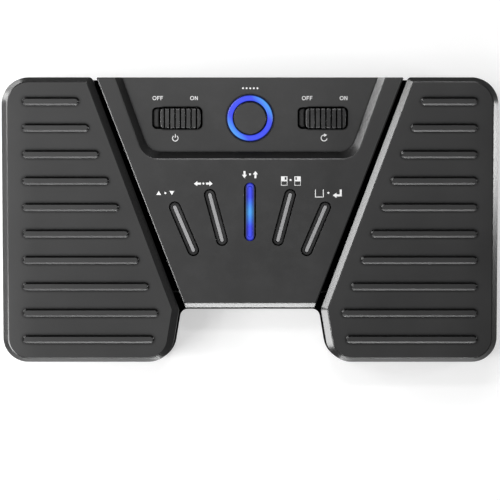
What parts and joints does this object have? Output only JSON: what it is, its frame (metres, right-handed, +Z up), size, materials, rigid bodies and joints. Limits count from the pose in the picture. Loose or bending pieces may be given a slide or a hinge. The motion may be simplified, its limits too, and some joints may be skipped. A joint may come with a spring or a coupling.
{
  "type": "page turner pedal",
  "caption": "Wireless foot pedal for page turning: two ribbed hinged pedals on a low wedge base, with a trapezoid centre cover, a sunk control panel and a fan of mode lights.",
  "frame": {"origin": "middle of the outline at the floor, under the rubber feet", "axes": "+X to the player's right along the long side, +Y to the back edge with the charging socket, +Z up"},
  "size_m": [0.2198, 0.126, 0.0302],
  "materials": {
    "pedal_plastic": "fine textured black moulding",
    "cover_plastic": "satin black moulding",
    "base_plastic": "black moulding",
    "knob_plastic": "satin black moulding with grip grooves",
    "cap_plastic": "satin dark grey moulding",
    "carrier_plastic": "dark grey moulding",
    "switch_plastic": "black moulded switch body",
    "diffuser": "frosted translucent plastic",
    "ring_diffuser": "frosted translucent plastic, lit blue",
    "circuit_board": "green solder mask",
    "silicone": "translucent grey silicone",
    "foot_rubber": "matte black rubber",
    "lead_sleeve": "smooth insulation",
    "foam": "closed-cell foam",
    "cell_wrap": "foil pouch",
    "emitter": "moulded light emitter",
    "shield": "tinned steel can",
    "pin_steel": "ground steel",
    "screw_steel": "zinc plated",
    "socket_steel": "plated steel shell"
  },
  "bodies": {
    "base": {"base_tray": "base_plastic", "battery": "cell_wrap", "battery_lead": "lead_sleeve", "battery_pad": "foam", "board_screws": "screw_steel", "centre_cover": "cover_plastic", "charging_socket": "socket_steel", "cover_screws": "screw_steel", "left_dome_strip": "silicone", "left_hinge_pin": "pin_steel", "left_sensor_board": "circuit_board", "left_sensor_lead": "lead_sleeve", "left_sensor_screws": "screw_steel", "left_stop_pad": "foot_rubber", "light_carrier": "carrier_plastic", "light_emitters": "emitter", "main_board": "circuit_board", "mode_light_1": "diffuser", "mode_light_2": "diffuser", "mode_light_3": "diffuser", "mode_light_4": "diffuser", "mode_light_5": "diffuser", "mode_light_ring": "ring_diffuser", "mode_switch": "switch_plastic", "power_switch": "switch_plastic", "radio_module": "shield", "repeat_switch": "switch_plastic", "right_dome_strip": "silicone", "right_hinge_pin": "pin_steel", "right_sensor_board": "circuit_board", "right_sensor_lead": "lead_sleeve", "right_sensor_screws": "screw_steel", "right_stop_pad": "foot_rubber", "rubber_feet": "foot_rubber"},
    "left_pedal": {"left_pedal": "pedal_plastic"},
    "right_pedal": {"right_pedal": "pedal_plastic"},
    "mode_button": {"mode_cap": "cap_plastic", "mode_plunger": "switch_plastic"},
    "power_slider": {"power_knob": "knob_plastic", "power_lever": "switch_plastic"},
    "repeat_slider": {"repeat_knob": "knob_plastic", "repeat_lever": "switch_plastic"}
  },
  "joints": [
    {"name": "left_pedal_press", "type": "hinge", "parent": "base", "child": "left_pedal", "pos_m": [-0.09, 0.053, 0.012], "axis": [1, 0, 0], "range_deg": [0, 2.22], "stiffness_Nm_per_rad": 9, "springref_deg": -1.6, "deforming": ["left_dome_strip"]},
    {"name": "right_pedal_press", "type": "hinge", "parent": "base", "child": "right_pedal", "pos_m": [0.09, 0.053, 0.012], "axis": [1, 0, 0], "range_deg": [0, 2.22], "stiffness_Nm_per_rad": 9, "springref_deg": -1.6, "deforming": ["right_dome_strip"]},
    {"name": "mode_button_press", "type": "slide", "parent": "base", "child": "mode_button", "axis": [0, 0.0634, -0.998], "range_m": [0, 0.0006], "stiffness_N_per_m": 400, "springref_m": -0.0025},
    {"name": "power_slide", "type": "slide", "parent": "base", "child": "power_slider", "axis": [-1, 0, 0], "range_m": [0, 0.0028]},
    {"name": "repeat_slide", "type": "slide", "parent": "base", "child": "repeat_slider", "axis": [-1, 0, 0], "range_m": [0, 0.0028]}
  ]
}
